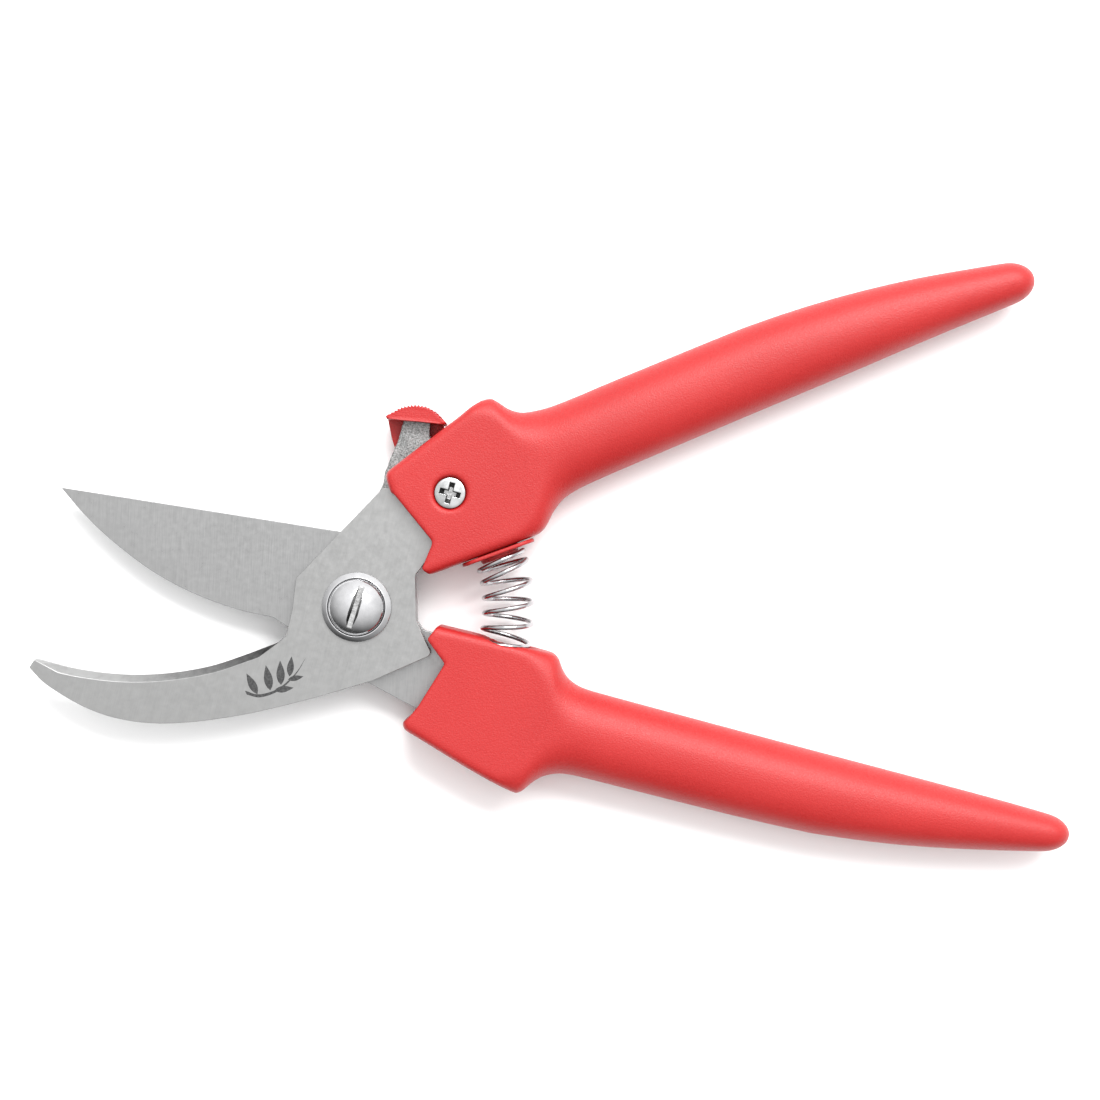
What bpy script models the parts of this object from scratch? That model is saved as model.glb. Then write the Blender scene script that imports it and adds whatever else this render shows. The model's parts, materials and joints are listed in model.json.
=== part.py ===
"""Bypass pruning shears, open and lying flat, built as separate pieces.

Lengths below are in millimetres and turned into metres by MM. The origin is on
the pivot's axis in the plane that the shears rest on, +Z points up out of the
bolt's head, and +X runs towards the handles. The hook blade, the upper handle,
the bolt and the lock stay still. The cutting blade and the lower handle turn
about the pivot, anticlockwise to close. The lock lever turns about its screw.
"""
import math

import bmesh
import bpy
from mathutils import Matrix, Vector

MM = 0.001
GAP = 0.3                      # clearance between neighbouring pieces

# Heights of the layers, from the plane that the shears rest on
MATE_Z = 6.75                  # plane between the two blades
BLADE_THICKNESS = 2.6
HOOK_LOW = MATE_Z + 0.5 * GAP
HOOK_HIGH = HOOK_LOW + BLADE_THICKNESS
CUTTER_HIGH = MATE_Z - 0.5 * GAP
CUTTER_LOW = CUTTER_HIGH - BLADE_THICKNESS
LEVER_THICKNESS = 1.7
LEVER_HIGH = CUTTER_HIGH - 0.1
LEVER_LOW = LEVER_HIGH - LEVER_THICKNESS
LOCK_WASHER_THICKNESS = 0.3
LOCK_SLOT_LOW = LEVER_LOW - LOCK_WASHER_THICKNESS - 0.4

# Cutting blade
SPINE_TIP = (-56.0, 22.5)
SPINE_END = (-3.4, 14.2)
GRIND_WIDTH = 6.5

# Handles
GRIP_HALF = 6.75               # half thickness of a grip at its thickest
BLOCK_HALF = 6.4               # half thickness of the flat block at the front
UPPER_ANGLE = 20.0             # direction of the upper handle's inner face
LOWER_ANGLE = -13.5
EDGE_ROUND = 1.6

# Handle outlines: distance along the inner face, then distance outwards from the pivot's radial line
FRONT_S = 13.5                 # where a handle starts, along its inner face
BLOCK_END_S = 36.5             # where the block's shoulders turn into the grip
GRIP_START_S = 46.0
THICKNESS_TABLE = [(FRONT_S, BLOCK_HALF), (BLOCK_END_S - 4, BLOCK_HALF), (50, GRIP_HALF), (95, 6.7),
                   (115, 6.0), (130, 5.0), (138, 4.3)]
UPPER_INNER = [(FRONT_S, 1.0), (36.4, 1.2), (38.0, 1.75), (41.0, 4.4), (43.5, 5.9), (47.5, 6.7), (60, 7.5),
               (80, 8.55), (100, 9.5), (120, 10.6), (137, 11.3), (141.2, 11.6)]
UPPER_OUTER = [(FRONT_S, 21.6), (30.0, 26.75), (35.3, 28.3), (36.8, 28.2), (39.6, 25.0), (42.0, 23.6),
               (47.5, 23.05), (60, 23.6), (75, 24.2), (88, 24.65), (100, 24.3), (110, 23.5), (120, 22.25),
               (130, 20.5), (137, 19.2), (141.2, 18.3)]
LOWER_INNER = [(FRONT_S, -0.3), (37.6, -0.15), (38.9, 0.4), (40.0, 2.2), (42.0, 4.1), (45.0, 5.0), (50, 5.2),
               (70, 5.75), (90, 6.25), (110, 6.7), (130, 7.25), (137, 7.6), (140.6, 7.8)]
LOWER_OUTER = [(FRONT_S, 19.9), (35.6, 26.6), (37.3, 26.9), (39.9, 24.0), (42.3, 22.3), (46.0, 21.45),
               (60, 21.6), (80, 21.8), (92, 21.65), (100, 21.0), (110, 19.8), (120, 18.1), (130, 16.1),
               (137, 14.6), (140.6, 13.8)]
CORNER_STEPS = 6

# Pivot
BOLT_SHANK_R = 3.5
BOLT_THREAD_R = 3.0
BOLT_HEAD_R = 5.1
BOLT_HEAD_HEIGHT = 2.6
SLOT_WIDTH = 1.2
SLOT_DEPTH = 1.2
SLOT_ANGLE = 72.6
WASHER_R = 6.5
WASHER_THICKNESS = 1.0
NUT_FLATS = 10.0
NUT_HEIGHT = 2.7
RING_R = 3.9                   # nylon locking ring in the nut
RING_DEPTH = 1.0

# Return spring, on an arc about the pivot
SPRING_ARC_R = 28.4
SPRING_COIL_R = 4.6
SPRING_WIRE_R = 0.45
SPRING_ACTIVE_TURNS = 6.0
SPRING_SEAT_PITCH = 1.9        # height of the turn that meets the seat
RECESS_R = 5.45
RECESS_DEPTH = 8.6
RECESS_MOUTH = 0.9             # width of the chamfer round the recess
SPIGOT_R = 4.0
SPIGOT_DEPTH = 3.6
SEAT_THICKNESS = 0.7
SEAT_GAP = 0.2                 # between the seat's flange and the handle
SEAT_BOSS = 0.8                # how far the seat reaches into the spring
LOWER_FACE_DROP = 0.2          # how far the lower inner face stands above its radial line
UPPER_FACE_RISE = 1.1          # how far the upper inner face lies above its radial line

# Lock
LOCK_POINT = (17.6, 21.3)      # axis of the lock lever and its screw
LOCK_SCREW_R = 1.5
LOCK_HEAD_R = 2.95
LOCK_NUT_FLATS = 5.5
LOCK_NUT_HEIGHT = 1.9
LEVER_BOSS_R = 5.0

PARTS = "pruning_shears"
CUTTERS = "cutters"


def clear_scene():
    for item in list(bpy.data.objects):
        bpy.data.objects.remove(item, do_unlink=True)
    for name in (PARTS, CUTTERS):
        group = bpy.data.collections.get(name) or bpy.data.collections.new(name)
        if name not in bpy.context.scene.collection.children:
            bpy.context.scene.collection.children.link(group)


def material(name, color, roughness, metallic):
    made = bpy.data.materials.new(name)
    made.use_nodes = True
    shader = made.node_tree.nodes["Principled BSDF"]
    shader.inputs["Base Color"].default_value = (*color, 1.0)
    shader.inputs["Roughness"].default_value = roughness
    shader.inputs["Metallic"].default_value = metallic
    made.diffuse_color = (*color, 1.0)
    return made


def link(item, group):
    for old in list(item.users_collection):
        old.objects.unlink(item)
    bpy.data.collections[group].objects.link(item)
    return item


def finish_piece(item, look, sharp_degrees=35.0):
    item.data.materials.clear()
    item.data.materials.append(look)
    item.data.shade_smooth()
    item.data.set_sharp_from_angle(angle=math.radians(sharp_degrees))
    return link(item, PARTS)


def origin_at(item, point):
    """Put a piece's origin on the axis that it turns about, its shape staying where it is."""
    offset = Vector((point[0] * MM, point[1] * MM, 0.0))
    item.data.transform(Matrix.Translation(-offset))
    item.location += offset
    return item


def hide_cutter(item):
    item.hide_render = True
    item.display_type = "WIRE"
    return link(item, CUTTERS)


def cut(item, cutter, operation="DIFFERENCE"):
    step = item.modifiers.new(cutter.name, "BOOLEAN")
    step.operation = operation
    step.solver = "EXACT"
    step.object = cutter
    return item


# ---------------------------------------------------------------- outlines

def arc_points(centre, radius, start, end, steps):
    """Points along a circle, from start to end in degrees."""
    points = []
    for i in range(steps + 1):
        angle = math.radians(start + (end - start) * i / steps)
        points.append((centre[0] + radius * math.cos(angle), centre[1] + radius * math.sin(angle)))
    return points


def smooth_run(points, steps=4):
    """A Catmull-Rom curve through the points, both ends included."""
    line = [Vector(p) for p in points]
    line = [2 * line[0] - line[1]] + line + [2 * line[-1] - line[-2]]
    made = []
    for a, b, c, d in zip(line, line[1:], line[2:], line[3:]):
        for i in range(steps):
            t = i / steps
            made.append(0.5 * (2 * b + (c - a) * t + (2 * a - 5 * b + 4 * c - d) * t ** 2
                               + (3 * b - a - 3 * c + d) * t ** 3))
    made.append(line[-2])
    return [(p.x, p.y) for p in made]


def rounded(corners, steps=4):
    """Corners (x, y, radius) as an open chain of points with round corners; its two ends stay as they are."""
    made = [corners[0][:2]]
    for before, (x, y, radius), after in zip(corners, corners[1:], corners[2:]):
        if radius <= 0:
            made.append((x, y))
            continue
        here = Vector((x, y))
        back = (Vector(before[:2]) - here).normalized()
        ahead = (Vector(after[:2]) - here).normalized()
        half = back.angle(ahead) / 2
        centre = here + (back + ahead).normalized() * radius / math.sin(half)
        start = here + back * radius / math.tan(half) - centre
        turn = start.angle_signed(here + ahead * radius / math.tan(half) - centre)
        for j in range(steps + 1):
            made.append(tuple(centre + Matrix.Rotation(-turn * j / steps, 2) @ start))
    made.append(corners[-1][:2])
    return made


def along(angle, side, s, v):
    """A point s along a handle's inner face from the pivot and v outwards from it."""
    a = math.radians(angle)
    return (s * math.cos(a) - side * v * math.sin(a), s * math.sin(a) + side * v * math.cos(a))


# ---------------------------------------------------------------- solids

def mesh_object(name, bm):
    bmesh.ops.recalc_face_normals(bm, faces=bm.faces)
    mesh = bpy.data.meshes.new(name)
    bm.to_mesh(mesh)
    bm.free()
    return bpy.data.objects.new(name, mesh)


def plate(name, outline, low, high, edge=0.0):
    """A flat outline between two heights, with its sharp edges broken by a small bevel."""
    curve = bpy.data.curves.new(name, "CURVE")
    curve.dimensions = "2D"
    curve.fill_mode = "BOTH"
    curve.extrude = 0.5 * (high - low) * MM
    spline = curve.splines.new("POLY")
    spline.points.add(len(outline) - 1)
    for point, (x, y) in zip(spline.points, outline):
        point.co = (x * MM, y * MM, 0.0, 1.0)
    spline.use_cyclic_u = True
    flat = bpy.data.objects.new(name + "_outline", curve)
    bpy.context.scene.collection.objects.link(flat)
    bpy.context.view_layer.update()
    graph = bpy.context.evaluated_depsgraph_get()
    mesh = bpy.data.meshes.new_from_object(flat.evaluated_get(graph))
    bpy.data.objects.remove(flat, do_unlink=True)
    bm = bmesh.new()
    bm.from_mesh(mesh)
    bmesh.ops.remove_doubles(bm, verts=bm.verts, dist=0.00001)
    bmesh.ops.translate(bm, verts=bm.verts, vec=(0, 0, 0.5 * (low + high) * MM))
    bmesh.ops.recalc_face_normals(bm, faces=bm.faces)
    bm.to_mesh(mesh)
    bm.free()
    item = bpy.data.objects.new(name, mesh)
    if edge:
        step = item.modifiers.new("broken_edges", "BEVEL")
        step.width = edge * MM
        step.segments = 1
        step.angle_limit = math.radians(50)
    return item


def turned(name, profile, steps=48, at=(0.0, 0.0), ring=False):
    """A profile (radius, height), from the top down its outer side, turned about Z; closed for a ring."""
    bm = bmesh.new()
    verts = [bm.verts.new((r * MM, 0.0, z * MM)) for r, z in profile]
    for a, b in zip(verts, verts[1:]):
        bm.edges.new((a, b))
    if ring:
        bm.edges.new((verts[-1], verts[0]))
    mesh = bpy.data.meshes.new(name)
    bm.to_mesh(mesh)
    bm.free()
    item = bpy.data.objects.new(name, mesh)
    item.location = (at[0] * MM, at[1] * MM, 0.0)
    step = item.modifiers.new("turn", "SCREW")
    step.steps = steps
    step.render_steps = steps
    step.use_merge_vertices = True
    step.merge_threshold = 0.00001
    step.use_normal_calculate = False
    return item


def tapered_plate(name, levels):
    """A plate whose outline changes with height: levels are (height, outline) from the bottom up."""
    bm = bmesh.new()
    rings = []
    for height, outline in levels:
        rings.append([bm.verts.new((x * MM, y * MM, height * MM)) for x, y in outline])
    for low, high in zip(rings, rings[1:]):
        for i in range(len(low)):
            j = (i + 1) % len(low)
            bm.faces.new((low[i], low[j], high[j], high[i]))
    bm.faces.new(list(reversed(rings[0])))
    bm.faces.new(rings[-1])
    bm.normal_update()
    bmesh.ops.triangulate(bm, faces=[f for f in bm.faces if len(f.verts) > 4])
    return mesh_object(name, bm)


def hexagon(flats, centre=(0.0, 0.0), turn=0.0):
    radius = flats / math.sqrt(3)
    return arc_points(centre, radius, turn, turn + 300, 5)


def round_cutter(name, radius, low, high, at=(0.0, 0.0), steps=40):
    item = turned(name, [(0, high), (radius, high), (radius, low), (0, low)], steps, at)
    return hide_cutter(item)


# ---------------------------------------------------------------- blades

def placed(angle, side, corners):
    """Corners (s, v, radius) in a handle's own directions turned into (x, y, radius)."""
    return [(*along(angle, side, s, v), radius) for s, v, radius in corners]


def hook_points():
    """The hook blade's outline, anticlockwise: its plain part from the tip, then its ground inner edge."""
    belly = smooth_run([(-61.4, -11.3), (-57.9, -14.7), (-50.0, -19.2), (-42.0, -21.4), (-33.0, -21.7),
                        (-21.4, -20.2), (-9.0, -17.3), (2.9, -13.8)], 5)
    heel = [(14.1, -8.9, 0.9), (12.7, -6.1, 0.8), (11.1, -2.6, 1.5), (10.9, 6.2, 1.5)]
    tang = [(13.5, 2.6, 2), (17.0, 5.0, 2), (19.6, 7.4, 2), (36.0, 8.0, 3), (44.0, 11.2, 3), (88.0, 13.2, 2),
            (88.0, 20.2, 2), (43.0, 18.6, 3), (33.0, 23.6, 3), (13.0, 18.9, 1)]
    neck = [(5.0, 22.4, 0.8), (-11.4, 5.4, 1.2), (-12.1, -0.5, 1.5), (-13.2, -5.4, 0.7)]
    inner = smooth_run([(-15.0, -6.7), (-21.4, -9.1), (-28.0, -11.2), (-36.0, -12.5), (-44.0, -12.7),
                        (-52.5, -11.7), (-60.4, -9.7)], 5)
    corners = [(*belly[-1], 0)] + heel + placed(UPPER_ANGLE, 1, tang) + neck + [(*inner[0], 0)]
    return belly[:-1] + rounded(corners)[:-1], inner


def shifted(points, distance, ease):
    """Points moved to their right by distance, easing in and out over the ends of the run."""
    made = []
    last = len(points) - 1
    for i, (x, y) in enumerate(points):
        ahead = Vector(points[min(i + 1, last)]) - Vector(points[max(i - 1, 0)])
        away = Vector((ahead.y, -ahead.x)).normalized()
        part = min(1.0, i / ease, (last - i) / ease)
        move = distance * (0.12 + 0.88 * part)
        made.append((x + away.x * move, y + away.y * move))
    return made


def make_hook_blade(steel):
    """Blunt hooked counter blade with a ground band along its inner edge and a tang."""
    rest, ground = hook_points()
    band = shifted(ground, -1.3, 3)
    full = rest + ground
    levels = [(HOOK_LOW, full), (HOOK_LOW + 1.3, full), (HOOK_HIGH, rest + band)]
    item = tapered_plate("hook_blade", levels)
    cut(item, round_cutter("hook_pivot_hole", BOLT_SHANK_R + GAP, 5, 12))
    cut(item, round_cutter("hook_lock_hole", LOCK_SCREW_R + GAP, 5, 12, LOCK_POINT, 24))
    return finish_piece(item, steel)


def cutter_points():
    """The cutting blade's outline, anticlockwise from the tip: first its edge, then the rest."""
    edge = smooth_run([(-55.8, 22.2), (-52.2, 18.0), (-47.2, 13.1), (-40.6, 7.9), (-34.9, 4.4), (-29.1, 1.7),
                       (-22.5, -0.6), (-16.1, -2.0)], 4)
    boss = [(-13.1, -3.9)] + arc_points((0, 0), 13.6, 205, 272, 8)
    tang = [(15.5, 16.2, 2), (33.0, 21.3, 3), (43.0, 17.6, 3), (88.0, 16.6, 2), (88.0, 10.4, 2),
            (44.0, 9.8, 3), (36.0, 9.6, 3), (22.0, 9.4, 2), (17.5, 4.0, 1), (14.8, 1.5, 1)]
    side = [(12.3, -4.4, 1), (11.2, -2.8, 1), (10.9, 4.0, 0)]
    lobe = arc_points((0, 0), 13.2, 37, 46.5, 3)
    tooth = []
    for radius, angle, rounding in ((13.2, 48.8, 0.4), (16.8, 48.8, 0.4), (16.6, 55, 0.8)):
        tooth.append((*arc_points((0, 0), radius, angle, angle + 1, 1)[0], rounding))
    spine = [(6.6, 12.6, 1.5), (*SPINE_END, 0), (*SPINE_TIP, 0)]
    corners = [(*edge[-1], 0)] + [(*p, 0) for p in boss] + placed(LOWER_ANGLE, -1, tang) + side
    corners += [(*p, 0) for p in lobe] + tooth + spine
    return edge, rounded(corners)[1:]


def make_cutting_blade(steel):
    """Curved knife blade, flat against the hook blade and ground on its other side."""
    edge, rest = cutter_points()
    last = len(edge) - 1
    tip = Vector(SPINE_TIP)
    spine = (Vector(SPINE_END) - tip).normalized()
    ground = []
    for i, (x, y) in enumerate(edge):
        depth = (Vector((x, y)) - tip).cross(spine)
        toward_spine = Vector((-spine.y, spine.x))
        width = min(GRIND_WIDTH, 0.6 * depth) * min(1.0, 0.15 + (last - i) / 6)
        ground.append((x + toward_spine.x * width, y + toward_spine.y * width))
    full = edge + rest
    levels = [(CUTTER_LOW, ground + rest), (CUTTER_HIGH - 0.45, full), (CUTTER_HIGH, full)]
    item = tapered_plate("cutting_blade", levels)
    cut(item, round_cutter("cutter_pivot_hole", BOLT_SHANK_R + GAP, 2, 9))
    return finish_piece(item, steel)


# ---------------------------------------------------------------- handles

def eased(table, s):
    """Value at s of a table of (s, value), joined by smooth monotone curves."""
    spans = list(zip(table, table[1:]))
    slopes = [(b[1] - a[1]) / (b[0] - a[0]) for a, b in spans]
    tangents = [slopes[0]]
    for before, after in zip(slopes, slopes[1:]):
        same = before * after > 0
        tangents.append(2 * before * after / (before + after) if same else 0.0)
    tangents.append(slopes[-1])
    if s <= table[0][0]:
        return table[0][1]
    if s >= table[-1][0]:
        return table[-1][1]
    for i, ((s0, v0), (s1, v1)) in enumerate(spans):
        if s <= s1:
            h = s1 - s0
            t = (s - s0) / h
            return (v0 * (1 + 2 * t) * (1 - t) ** 2 + tangents[i] * h * t * (1 - t) ** 2
                    + v1 * t * t * (3 - 2 * t) - tangents[i + 1] * h * t * t * (1 - t))
    return table[-1][1]


def section(centre, half_width, half_height, round_v, round_z):
    """A rectangle with elliptical corners, as (v, z) points."""
    points = []
    for quarter, (sign_v, sign_z) in enumerate([(1, 1), (-1, 1), (-1, -1), (1, -1)]):
        for i in range(CORNER_STEPS + 1):
            angle = math.radians(90 * (quarter + i / CORNER_STEPS))
            v = sign_v * (half_width - round_v) + round_v * math.cos(angle)
            z = sign_z * (half_height - round_z) + round_z * math.sin(angle)
            points.append((centre + v, z))
    return points


def handle_sections(inner, outer):
    """Stations along a handle: its rounded front, flat block, shoulders, grip and rounded end."""
    end = inner[-1][0]
    front_round = 1.0
    stations = []
    for step in range(4):
        angle = math.radians(90 * step / 3)
        stations.append((FRONT_S + front_round * (1 - math.cos(angle)), front_round * (1 - math.sin(angle))))
    for s in [18, 22, 26, 30, 33, 35, 36.2, 37.2, 38.2, 39.2, 40.2, 41.4, 42.8, 44.5, 46.5, 49, 53, 58, 64,
              71, 79, 86, 93, 99, 105, 110, 115, 120, 125, 129, 133]:
        stations.append((s, 0.0))
    for step in range(1, 8):
        stations.append((133.0 + (end - 133.0) * math.sin(math.radians(90 * step / 8.0)), 0.0))
    made = []
    for s, inset in stations:
        low = eased(inner, s)
        high = eased(outer, s)
        half_width = 0.5 * (high - low) - inset
        half_height = eased(THICKNESS_TABLE, s) - inset
        past = max(0.0, s - (end - 4.2)) / 4.2
        shrink = math.sqrt(max(0.0, 1 - past ** 2))
        half_width *= shrink
        half_height *= shrink
        blend = min(1.0, max(0.0, (s - BLOCK_END_S + 5) / (GRIP_START_S - BLOCK_END_S + 5)))
        blend = blend * blend * (3 - 2 * blend)
        round_v = EDGE_ROUND + (0.94 * half_width - EDGE_ROUND) * blend
        round_z = EDGE_ROUND + (0.94 * half_height - EDGE_ROUND) * blend
        made.append((s, section(0.5 * (low + high), half_width, half_height, round_v, round_z)))
    return made


def handle_body(name, angle, side, inner, outer):
    """A moulded handle, lofted from its sections."""
    bm = bmesh.new()
    rings = []
    for s, points in handle_sections(inner, outer):
        ring = []
        for v, z in points:
            x, y = along(angle, side, s, v)
            ring.append(bm.verts.new((x * MM, y * MM, (MATE_Z + z) * MM)))
        rings.append(ring)
    for a, b in zip(rings, rings[1:]):
        for i in range(len(a)):
            j = (i + 1) % len(a)
            bm.faces.new((a[i], a[j], b[j], b[i]))
    bm.faces.new(rings[0])
    bm.faces.new(rings[-1])
    bm.normal_update()
    bmesh.ops.triangulate(bm, faces=[f for f in bm.faces if len(f.verts) > 4])
    return mesh_object(name, bm)


def slot_cutter(name, outline, low, high):
    return hide_cutter(plate(name, outline, low, high))


def recess_cutter(name, angle, side, face_v, depth, radius, mouth=0.0, steps=40):
    """A round recess into a handle's inner face, at the spring, its mouth chamfered."""
    item = turned(name, [(0, 3), (radius + mouth, 3), (radius + mouth, 0), (radius, -1.2 * mouth - 0.01),
                         (radius, -depth), (0, -depth)], steps)
    x, y = along(angle, side, SPRING_ARC_R, face_v)
    a = math.radians(angle)
    out = Vector((side * math.sin(a), -side * math.cos(a), 0))
    item.location = (x * MM, y * MM, MATE_Z * MM)
    item.rotation_euler = Vector((0, 0, 1)).rotation_difference(out).to_euler()
    return hide_cutter(item)


def make_upper_handle(plastic):
    item = handle_body("upper_handle", UPPER_ANGLE, 1, UPPER_INNER, UPPER_OUTER)
    notch = [along(UPPER_ANGLE, 1, s, v) for s, v in [(12.2, 1.6), (14.3, 2.8), (17.7, 6.5), (13.9, 17.5),
                                                      (9, 19)]]
    nose = [along(UPPER_ANGLE, 1, s, v) for s, v in [(12, 0), (15.1, 0.7), (13.6, 3.2), (12, 4)]]
    cut(item, slot_cutter("upper_notch", notch, -2, 16))
    cut(item, slot_cutter("upper_nose", nose, -2, 16))
    tang = [(8.0, 0.5), (12.6, 1.6), (17.2, 4.6), (19.8, 6.8), (36.1, 7.6), (44.2, 10.8), (88.6, 12.8),
            (88.6, 20.6), (43.0, 19.0), (33.2, 24.1), (14.0, 19.6), (8.0, 19.6)]
    outline = [along(UPPER_ANGLE, 1, s, v) for s, v in tang]
    cut(item, slot_cutter("upper_tang_slot", outline, HOOK_LOW - GAP, HOOK_HIGH + GAP))
    cut(item, slot_cutter("lock_slot", lock_slot_points(), LOCK_SLOT_LOW, HOOK_LOW))
    cut(item, recess_cutter("upper_recess", UPPER_ANGLE, 1, UPPER_FACE_RISE, SPIGOT_DEPTH + GAP,
                            SPIGOT_R + GAP))
    top = MATE_Z + BLOCK_HALF
    profile = [(0, top + 3), (LOCK_HEAD_R + GAP, top + 3), (LOCK_HEAD_R + GAP, top - 0.5),
               (LOCK_SCREW_R + GAP, top - 2.3), (LOCK_SCREW_R + GAP, -2), (0, -2)]
    cut(item, hide_cutter(turned("lock_screw_hole", profile, 32, LOCK_POINT)))
    pocket = hexagon(LOCK_NUT_FLATS + 2 * GAP, LOCK_POINT, 20)
    cut(item, slot_cutter("lock_nut_pocket", pocket, -2, MATE_Z - BLOCK_HALF + LOCK_NUT_HEIGHT + 0.2))
    return finish_piece(item, plastic)


def make_lower_handle(plastic):
    item = handle_body("lower_handle", LOWER_ANGLE, -1, LOWER_INNER, LOWER_OUTER)
    notch = [along(LOWER_ANGLE, -1, s, v) for s, v in [(12.2, 1.6), (14.6, 2.9), (18.6, 6.3), (15.6, 15.2),
                                                       (14.0, 18.4), (10, 19)]]
    nose = [along(LOWER_ANGLE, -1, s, v) for s, v in [(12, -1.5), (15.8, -0.6), (14.1, 3.2), (12, 4)]]
    cut(item, slot_cutter("lower_notch", notch, -2, 16))
    cut(item, slot_cutter("lower_nose", nose, -2, 16))
    tang = [(8.0, 1.1), (15.0, 1.1), (17.9, 3.7), (22.2, 9.0), (36.1, 9.2), (44.2, 9.4), (88.6, 10.0),
            (88.6, 17.0), (43.0, 18.0), (33.2, 21.7), (14.0, 16.2), (8.0, 14.0)]
    outline = [along(LOWER_ANGLE, -1, s, v) for s, v in tang]
    cut(item, slot_cutter("lower_tang_slot", outline, CUTTER_LOW - GAP, CUTTER_HIGH + GAP))
    cut(item, recess_cutter("lower_recess", LOWER_ANGLE, -1, -LOWER_FACE_DROP, RECESS_DEPTH, RECESS_R,
                            RECESS_MOUTH))
    return finish_piece(item, plastic)


# ---------------------------------------------------------------- lock

def lever_points():
    """The lock lever's outline: cap end, left edge, finger, boss and right edge."""
    left = [(8.8, 36.2), (8.2, 34.0), (7.5, 31.5), (6.0, 28.0), (5.0, 25.4), (4.7, 23.2), (3.5, 20.6),
            (2.0, 18.5), (2.7, 17.7), (4.2, 18.2), (8.0, 18.6)]
    boss = arc_points(LOCK_POINT, LEVER_BOSS_R, 215, 390, 14)
    right = [(19.6, 26.0), (15.6, 28.6), (13.6, 32.0), (13.8, 36.2)]
    return left + boss + right


def lock_slot_points():
    """Space in the upper handle that the lever sweeps, open at the front and the top."""
    boss = arc_points(LOCK_POINT, LEVER_BOSS_R + 0.4, 262, 392, 12)
    return [(-4, 12.0)] + boss + [(20.0, 26.4), (16.0, 29.0), (14.1, 32.2), (14.3, 44), (-4, 44)]


def make_lock_lever(steel):
    item = plate("lock_lever", lever_points(), LEVER_LOW, LEVER_HIGH)
    cut(item, round_cutter("lever_hole", LOCK_SCREW_R + GAP, 2, 9, LOCK_POINT, 24))
    return origin_at(finish_piece(item, steel), LOCK_POINT)


def make_thumb_cap(plastic):
    """Moulded thumb cap: an arched pad in front of the lever's end and a pointed rib behind it."""
    arch = smooth_run([(16.7, 34.6), (16.0, 35.5), (14.9, 36.6), (13.1, 37.6), (10.7, 38.0), (8.2, 37.5),
                       (6.4, 36.5), (5.4, 35.8)], 3)
    foot = [(5.6, 35.3), (8.4, 35.0), (12.0, 34.7), (16.4, 34.2)]
    item = plate("lock_thumb_cap", arch + foot, 2.4, 10.0)
    rib = [(15.9, 34.9), (14.9, 36.1), (7.0, 36.3), (6.0, 35.8), (5.5, 35.0), (6.2, 31.8), (6.8, 30.0),
           (8.2, 31.4), (14.0, 32.2), (16.1, 33.8)]
    rib_item = hide_cutter(plate("cap_rib", rib, 2.4, LEVER_LOW - GAP))
    cut(item, rib_item, "UNION")
    pocket = [(7.8, 30), (14.1, 30), (14.1, 36.5), (8.3, 36.5)]
    cut(item, slot_cutter("cap_pocket", pocket, LEVER_LOW - GAP, LEVER_HIGH + GAP))
    return origin_at(finish_piece(item, plastic), LOCK_POINT)


def make_lock_screw(steel):
    """Countersunk cross-head screw that the lock lever turns on."""
    top = MATE_Z + BLOCK_HALF - 0.1
    low = MATE_Z - BLOCK_HALF + 0.1
    profile = [(0, top), (LOCK_HEAD_R - 0.15, top), (LOCK_HEAD_R, top - 0.35), (LOCK_SCREW_R, top - 1.9),
               (LOCK_SCREW_R, low + 0.3), (LOCK_SCREW_R - 0.3, low), (0, low)]
    item = turned("lock_screw", profile, 32, LOCK_POINT)
    for name, turn in (("cross_a", -15.0), ("cross_b", 75.0)):
        bar = [(-1.75, -0.35), (-0.5, -0.5), (0.5, -0.5), (1.75, -0.35), (1.75, 0.35), (0.5, 0.5),
               (-0.5, 0.5), (-1.75, 0.35)]
        cutter = plate(name, bar, top - 1.3, top + 2)
        cutter.location = (LOCK_POINT[0] * MM, LOCK_POINT[1] * MM, 0)
        cutter.rotation_euler = (0, 0, math.radians(turn))
        cut(item, hide_cutter(cutter))
    return finish_piece(item, steel)


def make_nut(name, steel, flats, low, high, bore, at, turn):
    item = plate(name, hexagon(flats, at, turn), low, high, 0.3)
    cut(item, round_cutter(name + "_bore", bore, low - 2, high + 2, at, 32))
    return finish_piece(item, steel)


def make_lock_washer(steel):
    """Thin spring washer that keeps the lock lever where it is put."""
    low = LOCK_SLOT_LOW + 0.2
    profile = [(LOCK_SCREW_R + 0.25, low + LOCK_WASHER_THICKNESS), (3.6, low + LOCK_WASHER_THICKNESS),
               (3.6, low), (LOCK_SCREW_R + 0.25, low)]
    return finish_piece(turned("lock_washer", profile, 32, LOCK_POINT, ring=True), steel)


# ---------------------------------------------------------------- pivot

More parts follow.
